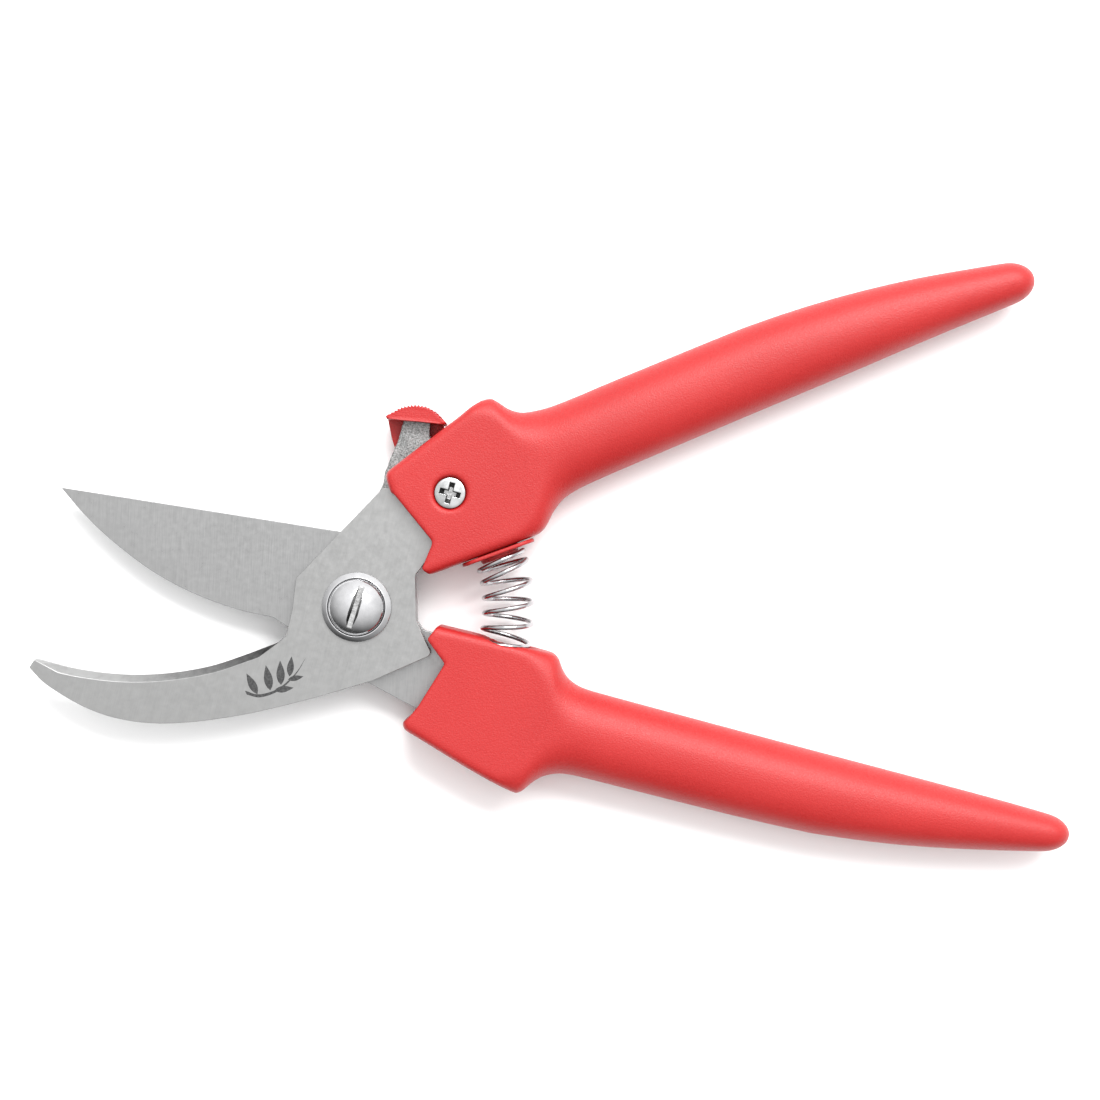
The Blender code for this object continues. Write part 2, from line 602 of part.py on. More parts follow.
def make_pivot_bolt(chrome):
    """Slotted dome bolt through both blades, its end level with the resting plane."""
    seat = HOOK_HIGH + GAP + WASHER_THICKNESS + 0.2
    rise = BOLT_HEAD_HEIGHT - 0.5
    dome_r = (BOLT_HEAD_R ** 2 + rise ** 2) / (2 * rise)
    reach = math.asin(BOLT_HEAD_R / dome_r)
    dome = []
    for i in range(8):
        angle = reach * i / 7
        dome.append((dome_r * math.sin(angle), seat + 0.5 + rise - dome_r * (1 - math.cos(angle))))
    profile = dome + [(BOLT_HEAD_R, seat), (BOLT_SHANK_R, seat), (BOLT_SHANK_R, 3.1), (BOLT_THREAD_R, 3.1),
                      (BOLT_THREAD_R, 0.4), (BOLT_THREAD_R - 0.4, 0.0), (0, 0.0)]
    item = turned("pivot_bolt", profile, 48)
    top = seat + BOLT_HEAD_HEIGHT
    half = 0.5 * SLOT_WIDTH
    slot = plate("bolt_slot", [(-8, -half), (8, -half), (8, half), (-8, half)], top - SLOT_DEPTH, top + 2)
    slot.rotation_euler = (0, 0, math.radians(SLOT_ANGLE))
    cut(item, hide_cutter(slot))
    return finish_piece(item, chrome)


def ring_profile(inner, outer, low, high, top_inset, bottom_inset):
    """A ring's closed profile, with its outer corners taken off."""
    return [(inner, high), (outer - top_inset, high), (outer, high - 0.7 * top_inset),
            (outer, low + 0.7 * bottom_inset), (outer - bottom_inset, low), (inner, low)]


def make_washers(chrome, steel):
    low = HOOK_HIGH + GAP
    profile = ring_profile(BOLT_SHANK_R + GAP, WASHER_R, low, low + WASHER_THICKNESS, 0.9, 0.1)
    front = turned("pivot_washer", profile, ring=True)
    finish_piece(front, chrome)
    high = CUTTER_LOW - 0.2
    profile = ring_profile(BOLT_SHANK_R + GAP, 6.0, high - 0.8, high, 0.15, 0.15)
    back = turned("pivot_back_washer", profile, ring=True)
    finish_piece(back, steel)


def make_locking_ring(nylon):
    """Nylon ring in the nut's outer end that grips the thread."""
    profile = [(BOLT_THREAD_R + 0.2, RING_DEPTH - 0.2), (RING_R, RING_DEPTH - 0.2), (RING_R, 0.15),
               (BOLT_THREAD_R + 0.2, 0.15)]
    return finish_piece(turned("nut_locking_ring", profile, 32, ring=True), nylon)


# ---------------------------------------------------------------- spring

def spring_points():
    """Points along the spring: its axis is straight inside the recess and an arc about the pivot above it."""
    pitch = 2 * SPRING_WIRE_R + 0.15
    floor = RECESS_DEPTH - LOWER_FACE_DROP - GAP - SPRING_WIRE_R
    top = SEAT_GAP + SEAT_THICKNESS - UPPER_FACE_RISE + GAP + SPRING_WIRE_R
    turns = SPRING_ACTIVE_TURNS + 2
    steps = int(turns * 14)
    points = []
    for i in range(steps + 1):
        turn = turns * i / steps
        phase = 2 * math.pi * turn
        radius = SPRING_ARC_R + SPRING_COIL_R * math.cos(phase)
        drop = top + SPRING_SEAT_PITCH * min(turns - turn, 1)
        seat_angle = math.radians(UPPER_ANGLE - LOWER_ANGLE) - math.asin(drop / radius)
        low = pitch * min(turn, 1) - floor
        part = min(max((turn - 1) / SPRING_ACTIVE_TURNS, 0), 1)
        rise = low + (SPRING_ARC_R * seat_angle - low) * part
        if rise < 0:
            x, y = along(LOWER_ANGLE, -1, radius, -rise)
        else:
            angle = math.radians(LOWER_ANGLE) + rise / SPRING_ARC_R
            x, y = radius * math.cos(angle), radius * math.sin(angle)
        points.append((x, y, MATE_Z - SPRING_COIL_R * math.sin(phase)))
    return points


def make_spring(steel):
    """Compression spring whose axis is an arc about the pivot, with close end turns."""
    points = spring_points()
    curve = bpy.data.curves.new("return_spring", "CURVE")
    curve.dimensions = "3D"
    curve.bevel_depth = SPRING_WIRE_R * MM
    curve.bevel_resolution = 2
    curve.use_fill_caps = True
    spline = curve.splines.new("POLY")
    spline.points.add(len(points) - 1)
    for point, (x, y, z) in zip(spline.points, points):
        point.co = (x * MM, y * MM, z * MM, 1.0)
    item = bpy.data.objects.new("return_spring", curve)
    curve.materials.append(steel)
    return link(item, PARTS)


def face_the_spring(item):
    """Stand a piece made along Z on the upper handle's inner face, its Z pointing at the spring."""
    x, y = along(UPPER_ANGLE, 1, SPRING_ARC_R, UPPER_FACE_RISE)
    a = math.radians(UPPER_ANGLE)
    out = Vector((math.sin(a), -math.cos(a), 0))
    item.matrix_world = Matrix.Translation((x * MM, y * MM, MATE_Z * MM)) @ Matrix((
        (math.cos(a), 0, out.x, 0), (math.sin(a), 0, out.y, 0), (0, 1, 0, 0), (0, 0, 0, 1)))
    return item


def make_spring_seat(plastic):
    """Spring seat: a flange on the upper handle's face, a spigot in the handle and a boss in the spring."""
    half_x, half_y, corner = 7.1, 5.5, 3.0
    outline = []
    for quarter, (sign_x, sign_y) in enumerate([(1, 1), (-1, 1), (-1, -1), (1, -1)]):
        centre = (sign_x * (half_x - corner), sign_y * (half_y - corner))
        outline += arc_points(centre, corner, 90 * quarter, 90 * quarter + 90, 5)
    item = face_the_spring(plate("spring_seat", outline, SEAT_GAP, SEAT_GAP + SEAT_THICKNESS))
    tip = SEAT_GAP + SEAT_THICKNESS + SEAT_BOSS
    stem = [(0, tip), (3.4, tip), (3.7, tip - 0.3), (3.7, 0.8), (SPIGOT_R, 0.7), (SPIGOT_R, -SPIGOT_DEPTH),
            (0, -SPIGOT_DEPTH)]
    cut(item, hide_cutter(face_the_spring(turned("seat_stem", stem, 32))), "UNION")
    return finish_piece(item, plastic)


def main():
    clear_scene()
    red = (0.80, 0.07, 0.06)
    blade_grey = (0.62, 0.62, 0.62)
    make_hook_blade(material("hook_steel", blade_grey, 0.35, 1.0))
    make_cutting_blade(material("cutter_steel", blade_grey, 0.30, 1.0))
    make_upper_handle(material("upper_handle_plastic", red, 0.5, 0.0))
    make_lower_handle(material("lower_handle_plastic", red, 0.5, 0.0))
    make_pivot_bolt(material("bolt_chrome", (0.75, 0.75, 0.76), 0.12, 1.0))
    make_washers(material("washer_chrome", (0.72, 0.72, 0.73), 0.15, 1.0),
                 material("back_washer_steel", (0.55, 0.55, 0.56), 0.35, 1.0))
    nut = make_nut("pivot_nut", material("nut_steel", (0.6, 0.6, 0.6), 0.3, 1.0), NUT_FLATS, 0.0, NUT_HEIGHT,
                   BOLT_THREAD_R + GAP, (0, 0), 10)
    cut(nut, round_cutter("ring_pocket", RING_R + 0.2, -2, RING_DEPTH, steps=32))
    make_locking_ring(material("ring_nylon", (0.82, 0.81, 0.76), 0.45, 0.0))
    make_spring(material("spring_steel", (0.66, 0.66, 0.68), 0.22, 1.0))
    make_spring_seat(material("seat_plastic", red, 0.5, 0.0))
    make_lock_lever(material("lever_steel", (0.58, 0.58, 0.58), 0.4, 1.0))
    make_thumb_cap(material("cap_plastic", red, 0.5, 0.0))
    make_lock_screw(material("screw_steel", (0.6, 0.6, 0.6), 0.3, 1.0))
    make_lock_washer(material("lock_washer_steel", (0.66, 0.66, 0.68), 0.22, 1.0))
    nut_low = MATE_Z - BLOCK_HALF + 0.2
    make_nut("lock_nut", material("lock_nut_steel", (0.6, 0.6, 0.6), 0.3, 1.0), LOCK_NUT_FLATS, nut_low,
             nut_low + LOCK_NUT_HEIGHT - 0.3, LOCK_SCREW_R + 0.15, LOCK_POINT, 20)


main()
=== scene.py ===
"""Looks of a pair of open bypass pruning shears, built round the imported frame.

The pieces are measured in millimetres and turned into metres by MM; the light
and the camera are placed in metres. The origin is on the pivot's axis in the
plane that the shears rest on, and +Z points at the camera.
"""
import json
import math

import bmesh
import bpy
import numpy as np
from mathutils import Matrix, Vector, noise


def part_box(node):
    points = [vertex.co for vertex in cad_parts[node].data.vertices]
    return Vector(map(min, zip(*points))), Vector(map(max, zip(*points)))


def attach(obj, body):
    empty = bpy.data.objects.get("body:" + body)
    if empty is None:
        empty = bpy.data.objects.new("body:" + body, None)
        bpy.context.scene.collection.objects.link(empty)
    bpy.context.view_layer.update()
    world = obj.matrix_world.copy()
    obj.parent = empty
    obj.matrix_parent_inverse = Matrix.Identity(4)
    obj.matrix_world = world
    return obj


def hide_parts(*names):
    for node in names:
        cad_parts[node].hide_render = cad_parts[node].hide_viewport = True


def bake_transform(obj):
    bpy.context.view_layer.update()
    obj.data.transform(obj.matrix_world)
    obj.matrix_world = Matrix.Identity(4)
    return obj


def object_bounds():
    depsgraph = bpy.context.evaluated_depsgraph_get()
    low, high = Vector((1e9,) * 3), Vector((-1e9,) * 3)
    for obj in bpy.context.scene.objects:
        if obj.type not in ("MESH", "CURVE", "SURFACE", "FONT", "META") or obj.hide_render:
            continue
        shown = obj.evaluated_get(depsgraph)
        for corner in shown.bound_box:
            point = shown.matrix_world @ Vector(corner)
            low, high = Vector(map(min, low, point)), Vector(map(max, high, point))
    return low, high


MM = 0.001

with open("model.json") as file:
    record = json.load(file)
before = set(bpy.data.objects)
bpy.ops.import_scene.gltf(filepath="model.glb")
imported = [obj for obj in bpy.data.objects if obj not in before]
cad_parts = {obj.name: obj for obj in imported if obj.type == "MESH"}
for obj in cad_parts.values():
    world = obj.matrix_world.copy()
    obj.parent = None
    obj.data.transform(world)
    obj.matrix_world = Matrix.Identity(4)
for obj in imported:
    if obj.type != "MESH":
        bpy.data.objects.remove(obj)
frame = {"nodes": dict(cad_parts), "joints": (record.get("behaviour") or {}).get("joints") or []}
cad_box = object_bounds()
nodes = frame["nodes"]
pivot_z = frame["joints"][0]["pos_m"][2] / MM          # the plane between the two blades
lock_point = [value / MM for value in frame["joints"][1]["pos_m"][:2]]


# ---------------------------------------------------------------- meshes

def new_object(name, bm):
    """An object in the scene with the mesh, its normals pointing outwards."""
    bmesh.ops.recalc_face_normals(bm, faces=bm.faces)
    mesh = bpy.data.meshes.new(name)
    bm.to_mesh(mesh)
    bm.free()
    item = bpy.data.objects.new(name, mesh)
    bpy.context.scene.collection.objects.link(item)
    return item


def node_copy(name, node):
    """A copy of a CAD node's mesh with its split vertices joined again."""
    bm = bmesh.new()
    bm.from_mesh(nodes[node].data)
    bmesh.ops.remove_doubles(bm, verts=bm.verts, dist=0.002 * MM)
    return new_object(name, bm)


def bake_modifiers(item):
    """Replace the mesh by what its modifiers make of it."""
    bpy.context.view_layer.update()
    graph = bpy.context.evaluated_depsgraph_get()
    made = bpy.data.meshes.new_from_object(item.evaluated_get(graph))
    item.modifiers.clear()
    old = item.data
    item.data = made
    bpy.data.meshes.remove(old)
    made.materials.clear()
    return item


def cut(item, other, operation="DIFFERENCE"):
    """Cut the other solid out of the item, or join the two with UNION; the other is removed."""
    step = item.modifiers.new("cut", "BOOLEAN")
    step.operation = operation
    step.solver = "EXACT"
    step.object = other
    bake_modifiers(item)
    bpy.data.objects.remove(other, do_unlink=True)
    return item


def bevelled(item, width, segments=2, sharp_degrees=24.0):
    """Merge flat neighbours, then round the sharp edges over."""
    bm = bmesh.new()
    bm.from_mesh(item.data)
    bmesh.ops.dissolve_limit(bm, angle_limit=math.radians(0.7), verts=bm.verts, edges=bm.edges)
    bm.to_mesh(item.data)
    bm.free()
    step = item.modifiers.new("round", "BEVEL")
    step.width = width * MM
    step.segments = segments
    step.angle_limit = math.radians(sharp_degrees)
    step.use_clamp_overlap = False
    bake_modifiers(item)
    item.data.shade_smooth()
    item.data.set_sharp_from_angle(angle=math.radians(50))
    shade = item.modifiers.new("flat_faces", "WEIGHTED_NORMAL")
    shade.keep_sharp = True
    return bake_modifiers(item)


def remeshed(item, voxel, passes):
    """An even mesh over the same shape, smoothed a little; passes holds a number for each vertex."""
    step = item.modifiers.new("even", "REMESH")
    step.mode = "VOXEL"
    step.voxel_size = voxel * MM
    bake_modifiers(item)
    bm = bmesh.new()
    bm.from_mesh(item.data)
    count = len(bm.verts)
    place = np.array([v.co for v in bm.verts])
    edges = np.array([[v.index for v in e.verts] for e in bm.edges])
    bm.free()
    degree = np.bincount(edges.ravel(), minlength=count)[:, None]
    here = edges.ravel()
    there = edges[:, ::-1].ravel()
    rounds = passes(place)
    for turn in range(int(rounds.max())):
        total = np.stack([np.bincount(here, place[there, axis], count) for axis in range(3)], axis=1)
        share = np.clip(rounds - turn, 0, 1)[:, None] * 0.5
        place = place + (total / degree - place) * share
    item.data.vertices.foreach_set("co", place.ravel())
    item.data.shade_smooth()
    return item


def lathe(name, profile, steps, at=(0.0, 0.0), closed=False):
    """A profile of (radius, height) turned about a vertical axis; a closed profile makes a ring."""
    bm = bmesh.new()
    rings = []
    for radius, height in profile:
        if radius == 0:
            rings.append([bm.verts.new((at[0] * MM, at[1] * MM, height * MM))])
            continue
        ring = []
        for i in range(steps):
            a = 2 * math.pi * i / steps
            x = at[0] + radius * math.cos(a)
            y = at[1] + radius * math.sin(a)
            ring.append(bm.verts.new((x * MM, y * MM, height * MM)))
        rings.append(ring)
    pairs = list(zip(rings, rings[1:]))
    if closed:
        pairs.append((rings[-1], rings[0]))
    for a, b in pairs:
        for i in range(steps):
            j = (i + 1) % steps
            if len(a) == 1:
                bm.faces.new((a[0], b[i], b[j]))
            elif len(b) == 1:
                bm.faces.new((a[i], b[0], a[j]))
            else:
                bm.faces.new((a[i], b[i], b[j], a[j]))
    return new_object(name, bm)


def prism(name, levels):
    """A closed solid through equal outlines at rising heights: levels are (height, outline)."""
    bm = bmesh.new()
    rings = []
    for height, outline in levels:
        rings.append([bm.verts.new((x * MM, y * MM, height * MM)) for x, y in outline])
    for a, b in zip(rings, rings[1:]):
        for i in range(len(a)):
            j = (i + 1) % len(a)
            bm.faces.new((a[i], a[j], b[j], b[i]))
    bm.faces.new(list(reversed(rings[0])))
    bm.faces.new(rings[-1])
    return new_object(name, bm)


def repainted(item, test, index):
    """Give the faces that pass the test another of the piece's materials."""
    for face in item.data.polygons:
        if test(face):
            face.material_index = index
    return item


def smooth_run(points, steps=4):
    """A Catmull-Rom curve through the points, both ends included."""
    line = [Vector(p) for p in points]
    line = [2 * line[0] - line[1]] + line + [2 * line[-1] - line[-2]]
    made = []
    for a, b, c, d in zip(line, line[1:], line[2:], line[3:]):
        for i in range(steps):
            t = i / steps
            made.append(0.5 * (2 * b + (c - a) * t + (2 * a - 5 * b + 4 * c - d) * t ** 2
                               + (3 * b - a - 3 * c + d) * t ** 3))
    made.append(line[-2])
    return [(p.x, p.y) for p in made]


def bar(length, near, far):
    """The outline of a bar along X, near and far its half widths at the two ends."""
    return [(-length, -near), (length, -far), (length, far), (-length, near)]


def turned_outline(outline, at, degrees):
    """An outline turned and moved to a place."""
    spin = Matrix.Rotation(math.radians(degrees), 2)
    return [tuple(spin @ Vector(p) + Vector(at)) for p in outline]


def rounded_profile(corners, steps=4):
    """Corners (radius, height, rounding) of a turned piece as a chain with round corners; its ends stay."""
    made = [corners[0][:2]]
    for before, (x, y, radius), after in zip(corners, corners[1:], corners[2:]):
        if radius <= 0:
            made.append((x, y))
            continue
        here = Vector((x, y))
        back = (Vector(before[:2]) - here).normalized()
        ahead = (Vector(after[:2]) - here).normalized()
        half = back.angle(ahead) / 2
        centre = here + (back + ahead).normalized() * radius / math.sin(half)
        start = here + back * radius / math.tan(half) - centre
        turn = start.angle_signed(here + ahead * radius / math.tan(half) - centre)
        for j in range(steps + 1):
            made.append(tuple(centre + Matrix.Rotation(-turn * j / steps, 2) @ start))
    made.append(corners[-1][:2])
    return made


# ---------------------------------------------------------------- materials

class Look:
    """A material under construction, with short calls for the nodes it needs."""

    def __init__(self, name, roughness, metallic=0.0):
        self.material = bpy.data.materials.new(name)
        self.material.use_nodes = True
        self.tree = self.material.node_tree
        self.shader = self.tree.nodes["Principled BSDF"]
        self.shader.inputs["Roughness"].default_value = roughness
        self.shader.inputs["Metallic"].default_value = metallic
        self.place = self.tree.nodes.new("ShaderNodeTexCoord").outputs["Object"]

    def link(self, source, target):
        self.tree.links.new(source, target)

    def stretched(self, scale, turn_degrees=0.0):
        """The object's coordinates turned about Z, then scaled."""
        turn = self.tree.nodes.new("ShaderNodeMapping")
        turn.inputs["Rotation"].default_value = (0, 0, math.radians(turn_degrees))
        self.link(self.place, turn.inputs["Vector"])
        size = self.tree.nodes.new("ShaderNodeMapping")
        size.inputs["Scale"].default_value = scale
        self.link(turn.outputs["Vector"], size.inputs["Vector"])
        return size.outputs["Vector"]

    def noise(self, vector, scale=1.0, detail=2.0, roughness=0.5):
        """Noise about 0.5 over the coordinates."""
        node = self.tree.nodes.new("ShaderNodeTexNoise")
        node.inputs["Scale"].default_value = scale
        node.inputs["Detail"].default_value = detail
        node.inputs["Roughness"].default_value = roughness
        self.link(vector, node.inputs["Vector"])
        return node.outputs["Fac"]

    def spread(self, value, low, high, to_low=0.0, to_high=1.0):
        """The value taken from the range low to high into the range to_low to to_high."""
        node = self.tree.nodes.new("ShaderNodeMapRange")
        for name, number in (("From Min", low), ("From Max", high),
                             ("To Min", to_low), ("To Max", to_high)):
            node.inputs[name].default_value = number
        self.link(value, node.inputs["Value"])
        return node.outputs["Result"]

    def combine(self, operation, a, b):
        """Two values, or a value and a number, through one operation."""
        node = self.tree.nodes.new("ShaderNodeMath")
        node.operation = operation
        for socket, value in zip(node.inputs, (a, b)):
            if isinstance(value, (int, float)):
                socket.default_value = value
            else:
                self.link(value, socket)
        return node.outputs["Value"]

    def mix(self, share, a, b):
        """A colour between a and b."""
        node = self.tree.nodes.new("ShaderNodeMix")
        node.data_type = "RGBA"
        self.link(share, node.inputs["Factor"])
        for name, value in (("A", a), ("B", b)):
            socket = [s for s in node.inputs if s.name == name and s.type == "RGBA"][0]
            if isinstance(value, tuple):
                socket.default_value = (*value, 1.0)
            else:
                self.link(value, socket)
        return [s for s in node.outputs if s.type == "RGBA"][0]

    def color(self, value):
        self.link(value, self.shader.inputs["Base Color"])

    def rough(self, value):
        self.link(value, self.shader.inputs["Roughness"])

    def bump(self, *layers):
        """Layers of (height, strength, distance in mm), each on top of the last."""
        before = None
        for height, strength, distance in layers:
            node = self.tree.nodes.new("ShaderNodeBump")
            node.inputs["Strength"].default_value = strength
            node.inputs["Distance"].default_value = distance * MM
            self.link(height, node.inputs["Height"])
            if before:
                self.link(before, node.inputs["Normal"])
            before = node.outputs["Normal"]
        self.link(before, self.shader.inputs["Normal"])


def grained_plastic(name, base, pale, roughness=0.5):
    """Matt moulded plastic with a fine sparkle of grain."""
    look = Look(name, roughness)
    grain = look.noise(look.place, 3200, 3.0, 0.6)
    cloud = look.noise(look.place, 60, 3.0)
    share = look.combine("ADD", look.spread(grain, 0.35, 0.7, 0.0, 0.55),
                         look.spread(cloud, 0.3, 0.7, 0.0, 0.35))
    look.color(look.mix(share, base, pale))
    look.shader.inputs["Specular IOR Level"].default_value = 0.46
    look.rough(look.spread(grain, 0.3, 0.7, roughness - 0.07, roughness + 0.09))
    look.bump((look.noise(look.place, 3600, 3.0, 0.6), 1.0, 0.075), (cloud, 0.12, 0.4))
    return look.material


def ground_steel(name, dark, light, roughness, turn_degrees, line_share, mottle_share):
    """Satin steel: fine grinding lines across the turned X direction, over a soft mottle."""
    look = Look(name, roughness, 1.0)
    lines = look.noise(look.stretched((5200, 160, 160), turn_degrees), 1.0, 4.0, 0.65)
    mottle = look.noise(look.place, 900, 4.0, 0.65)
    cloud = look.noise(look.place, 90, 3.0)
    share = look.combine("ADD", look.spread(lines, 0.3, 0.7, 0.0, line_share),
                         look.spread(mottle, 0.3, 0.7, 0.0, mottle_share))
    share = look.combine("ADD", share, look.spread(cloud, 0.35, 0.65, 0.0, 0.12))
    look.color(look.mix(share, dark, light))
    look.rough(look.spread(mottle, 0.3, 0.7, roughness - 0.06, roughness + 0.08))
    look.bump((lines, 0.10 * line_share + 0.02, 0.02), (mottle, 0.10 * mottle_share, 0.04))
    return look.material


def graded_steel(name, dark, light, roughness, axis, dark_at, light_at):
    """Ground steel with a painted gradient of shade that goes from dark to light along an axis, between two
    places in mm.
    """
    look = Look(name, roughness, 1.0)
    split = look.tree.nodes.new("ShaderNodeSeparateXYZ")
    look.link(look.place, split.inputs["Vector"])
    along = look.spread(split.outputs[axis], dark_at * MM, light_at * MM)
    mottle = look.noise(look.place, 900, 4.0, 0.65)
    share = look.combine("ADD", along, look.spread(mottle, 0.3, 0.7, -0.12, 0.12))
    look.color(look.mix(share, dark, light))
    look.rough(look.spread(mottle, 0.3, 0.7, roughness - 0.06, roughness + 0.08))
    look.bump((mottle, 0.08, 0.04))
    return look.material


def etched(name, dark, light):
    """Dull grey etching with a little of the steel showing through."""
    look = Look(name, 0.5, 0.6)
    speck = look.noise(look.place, 2600, 3.0, 0.6)
    look.color(look.mix(look.spread(speck, 0.35, 0.75), dark, light))
    look.rough(look.spread(speck, 0.3, 0.7, 0.42, 0.6))
    look.bump((speck, 0.2, 0.02))
    return look.material


def blasted_steel(name, dark, light, roughness):
    """Rough dull steel with speckle and small pits."""
    look = Look(name, roughness, 1.0)
    speck = look.noise(look.place, 3200, 3.0, 0.7)
    patch = look.noise(look.place, 420, 3.0, 0.6)
    share = look.combine("ADD", look.spread(speck, 0.36, 0.66, 0.0, 0.9),
                         look.spread(patch, 0.35, 0.65, 0.0, 0.15))
    look.color(look.mix(share, dark, light))
    look.rough(look.spread(patch, 0.3, 0.7, roughness - 0.1, roughness + 0.1))
    look.bump((speck, 0.6, 0.05), (patch, 0.15, 0.1))
    return look.material


def plated(name, color, pale, roughness):
    """Bright plating with a little haze and very faint ripples."""
    look = Look(name, roughness, 1.0)
    haze = look.noise(look.place, 500, 4.0, 0.6)
    scuff = look.noise(look.stretched((4000, 300, 300), 30), 1.0, 3.0, 0.6)
    look.color(look.mix(look.spread(haze, 0.35, 0.65), color, pale))
    look.rough(look.combine("ADD", look.spread(haze, 0.3, 0.7, roughness * 0.7, roughness * 1.3),
                            look.spread(scuff, 0.55, 0.75, 0.0, 0.10)))
    look.bump((haze, 0.05, 0.05), (scuff, 0.03, 0.01))
    return look.material


def smooth_nylon(name, base, pale, roughness):
    """Smooth pale plastic with a faint cloudiness."""
    look = Look(name, roughness)
    cloud = look.noise(look.place, 700, 3.0)
    look.color(look.mix(look.spread(cloud, 0.3, 0.7), base, pale))
    look.rough(look.spread(cloud, 0.3, 0.7, roughness - 0.05, roughness + 0.1))
    look.bump((cloud, 0.15, 0.05))
    return look.material


def grey(level, tint=0.0):
    """A grey, its blue a little lower or higher than the rest."""
    return (level, level, level + tint)


RED = (0.358, 0.006, 0.006)
RED_PALE = (0.438, 0.016, 0.015)
handle_plastic = grained_plastic("red_grained_plastic", RED, RED_PALE, 0.43)
# painted shade: a darker red for the faces inside the spring's recess in the lower handle
recess_painted_shade_plastic = grained_plastic("red_plastic_painted_recess_shade", (0.10, 0.003, 0.003), (0.14, 0.005, 0.005), 0.5)
hook_steel = ground_steel("hook_ground_steel", grey(0.285, -0.002), grey(0.368, -0.002), 0.34, 15,
                          line_share=0.30, mottle_share=0.30)
# painted dark reflection for the hook's inner bevel: darkest near the throat, fading to the steel's grey
# towards the tip
bevel_painted_reflection_steel = graded_steel("hook_bevel_painted_dark_reflection", grey(0.075), grey(0.37, -0.002), 0.36, "X", -16, -46)
# painted dark reflection for the walls of the bolt's slot, darkest at the slot's lower end
slot_side_painted_reflection = graded_steel("slot_sides_painted_dark_reflection", grey(0.016), grey(0.52), 0.3, "Y", -1.5, 1.2)
etching = etched("etched_grey", grey(0.034, 0.001), grey(0.095))
cutter_steel = ground_steel("cutter_ground_steel", grey(0.256), grey(0.338), 0.33, 3,
                            line_share=0.6, mottle_share=0.25)
lever_steel = blasted_steel("lever_blasted_steel", (0.095, 0.097, 0.095), (0.385, 0.388, 0.385), 0.42)
chrome = plated("pivot_bright_chrome", grey(0.52, 0.01), grey(0.61, 0.01), 0.10)
screw_plate = plated("fastener_zinc", (0.37, 0.375, 0.375), (0.54, 0.545, 0.545), 0.24)
slot_floor = blasted_steel("slot_rough_zinc", grey(0.24), grey(0.56), 0.36)
# painted shade: a dark grey for the walls of the screw's cross
cross_painted_shade = blasted_steel("cross_recess_painted_shade", grey(0.04), grey(0.16, -0.003), 0.45)
wire_steel = plated("spring_drawn_wire", grey(0.38, 0.01), grey(0.50, 0.01), 0.14)
ring_nylon = smooth_nylon("ring_white_nylon", (0.68, 0.67, 0.62), (0.74, 0.73, 0.69), 0.42)


def dressed(item, look, body, node, extra=()):
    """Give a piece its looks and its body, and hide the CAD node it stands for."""
    indices = [face.material_index for face in item.data.polygons]
    item.data.materials.clear()
    for each in (look, *extra):
        item.data.materials.append(each)
    item.data.polygons.foreach_set("material_index", indices)
    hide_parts(node)
    if body:
        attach(item, body)
    return item


# ---------------------------------------------------------------- handles

HANDLE_VOXEL = 0.35
UPPER_ANGLE = 20.0     # direction of the upper handle's inner face
LOWER_ANGLE = -13.5
GRIP_FROM = 37.0       # distance along the handle where the round grip starts
GRIP_BLEND = 9.0       # length over which the block's smoothing turns into the grip's
BLOCK_PASSES = 3
GRIP_PASSES = 28

# The spring stands in a recess of the lower handle, on an arc about the pivot
ARC_R = 28.4           # radius of the spring's axis about the pivot
RECESS_R = 5.75        # reach of the recess round the spring's axis
RECESS_FROM = 0.45     # depths between which a face counts as inside the recess
RECESS_TO = 9.0


def handle_passes(angle):
    """More smoothing on the round grip than on the block, whose edges stay crisper."""
    along = np.array([math.cos(math.radians(angle)), math.sin(math.radians(angle)), 0])

    def passes(place):
        grip = np.clip((place @ along / MM - GRIP_FROM) / GRIP_BLEND, 0, 1)
        return BLOCK_PASSES + (GRIP_PASSES - BLOCK_PASSES) * grip

    return passes


def in_recess(face):
    """Whether a face is inside the spring's recess in the lower handle."""
    a = math.radians(LOWER_ANGLE)
    off = face.center / MM - Vector((ARC_R * math.cos(a), ARC_R * math.sin(a), pivot_z))
    depth = off.dot(Vector((math.sin(a), -math.cos(a), 0)))
    aside = math.sqrt(max(off.length_squared - depth ** 2, 0))
    return RECESS_FROM < depth < RECESS_TO and aside < RECESS_R


for side, body, angle in (("upper", "hook_side", UPPER_ANGLE), ("lower", "cutter_side", LOWER_ANGLE)):
    handle = remeshed(node_copy(side + "_grip", side + "_handle"), HANDLE_VOXEL, handle_passes(angle))
    if side == "lower":
        # the faces inside the spring's recess get the painted shade
        repainted(handle, in_recess, 1)
    dressed(handle, handle_plastic, body, side + "_handle", (recess_painted_shade_plastic,))

seat = bevelled(node_copy("seat", "spring_seat"), 0.2)
dressed(seat, handle_plastic, "hook_side", "spring_seat")


# ---------------------------------------------------------------- blades

def make_hook():
    """The hook blade, its hollow inner bevel painted with a dark reflection that fades towards the tip."""
    hook = bevelled(node_copy("hook", "hook_blade"), 0.09)

    def inner(face):
        return face.center.x / MM < -12 and 0.2 < face.normal.z < 0.9 and face.normal.y > 0.3

    # the inner bevel's faces get the painted dark reflection
    return repainted(hook, inner, 1)


